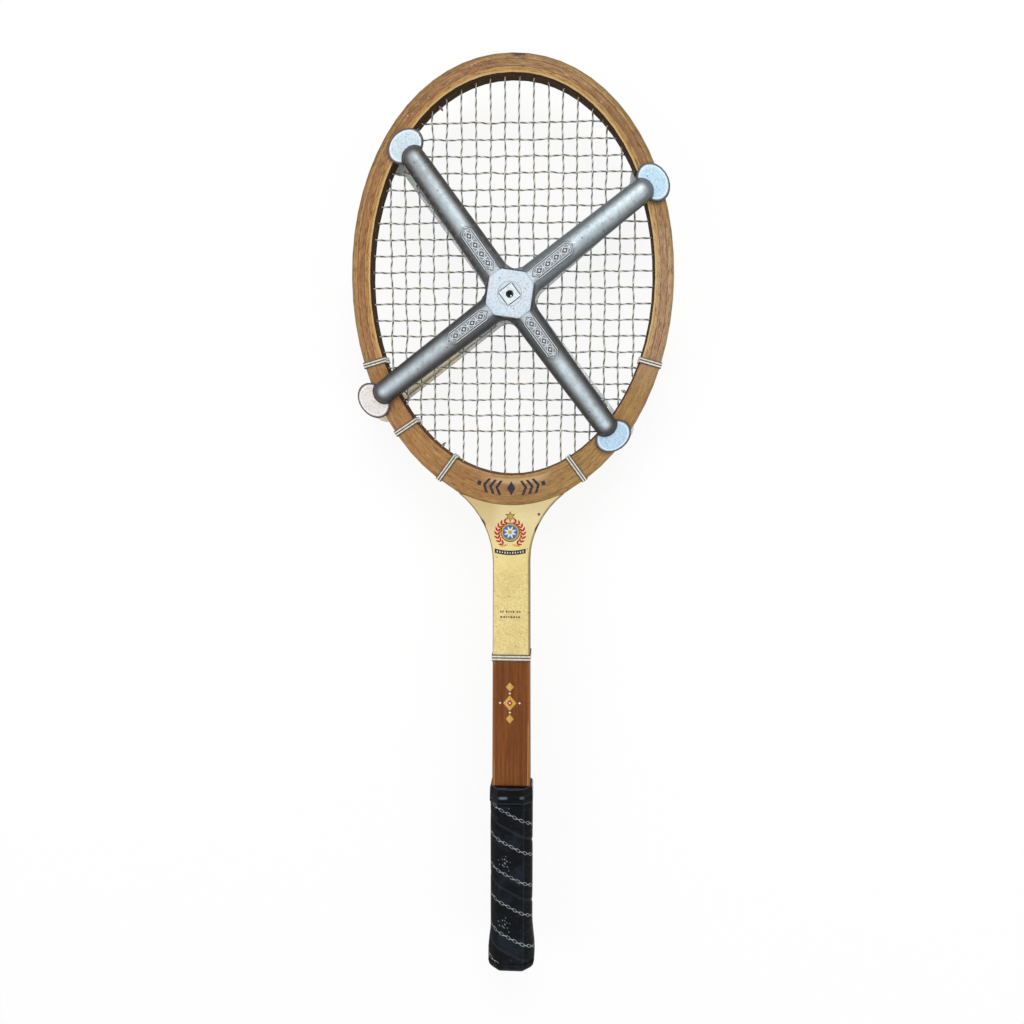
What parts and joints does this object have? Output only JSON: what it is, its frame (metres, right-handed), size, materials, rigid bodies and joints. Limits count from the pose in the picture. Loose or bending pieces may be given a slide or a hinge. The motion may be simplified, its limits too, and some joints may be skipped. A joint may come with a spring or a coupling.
{
  "type": "tennis racket in a press",
  "caption": "Laminated wooden tennis racket with a woven string bed and a wound leather grip, its head clamped in a cast X-shaped press with a wing screw.",
  "frame": {"origin": "middle of the butt cap's flat end, on the plane of the strings", "axes": "+Y from the butt along the shaft to the tip of the head, +Z out of the racket's front face, +X to the right seen from the front"},
  "size_m": [0.232, 0.6858, 0.0633],
  "materials": {
    "frame_wood": "clear varnish over mid-brown wood, worn",
    "shoulder_veneer": "clear varnish over mid-brown wood with short dark pores",
    "core_wood": "clear varnish over reddish wood",
    "inner_wood": "clear varnish over tan wood, dark inner wall",
    "throat_wood": "varnished",
    "handle_wood": "bare",
    "shaft_veneer": "varnished, dark red-brown",
    "throat_fibre": "lacquered cream fibre, yellowed and stained",
    "band_ivory": "ivory with dark lines, lacquered",
    "string_gut": "twisted, ivory with a dark spiral",
    "grip_leather": "black with a silver-grey printed chain, perforated",
    "collar_black": "glossy black",
    "cap_black": "satin black",
    "press_metal": "as cast, satin, pitted",
    "press_steel": "dull plated steel"
  },
  "bodies": {
    "racket": {"bow_outer_ply": "frame_wood", "throat_bridge": "frame_wood", "shoulder_veneer_front": "shoulder_veneer", "shoulder_veneer_back": "shoulder_veneer", "bow_core_ply": "core_wood", "head_inner_ply": "inner_wood", "throat_wedge": "throat_wood", "shaft_spline": "throat_wood", "handle_pallet_front": "handle_wood", "handle_pallet_back": "handle_wood", "butt_flare_left": "handle_wood", "butt_flare_right": "handle_wood", "shaft_veneer_front": "shaft_veneer", "shaft_veneer_back": "shaft_veneer", "throat_overlay_front": "throat_fibre", "throat_overlay_back": "throat_fibre", "rim_band_high_left": "band_ivory", "rim_band_high_right": "band_ivory", "rim_band_middle_left": "band_ivory", "rim_band_low_left": "band_ivory", "rim_band_low_right": "band_ivory", "shaft_band": "band_ivory", "main_string": "string_gut", "cross_string": "string_gut", "grip_strip": "grip_leather", "grip_collar": "collar_black", "butt_cap": "cap_black"},
    "press_front": {"press_front_casting": "press_metal", "square_nut": "press_steel"},
    "press_rear": {"press_rear_casting": "press_metal"},
    "wing_screw": {"wing_screw": "press_steel", "screw_washer": "press_steel"}
  },
  "joints": [
    {"name": "front_lift", "type": "slide", "parent": "racket", "child": "press_front", "axis": [0, 0, 1], "range_m": [0, 0.04]},
    {"name": "rear_back_off", "type": "slide", "parent": "racket", "child": "press_rear", "axis": [0, 0, -1], "range_m": [0, 0.00635]},
    {"name": "screw_turn", "type": "hinge", "parent": "press_rear", "child": "wing_screw", "pos_m": [-0.0005, 0.5184, 0], "axis": [0, 0, -1], "range_deg": [0, 2160]}
  ],
  "couplings": [
    {"joint": "screw_turn", "follows": "rear_back_off", "rad_per_m": 5936.8}
  ]
}
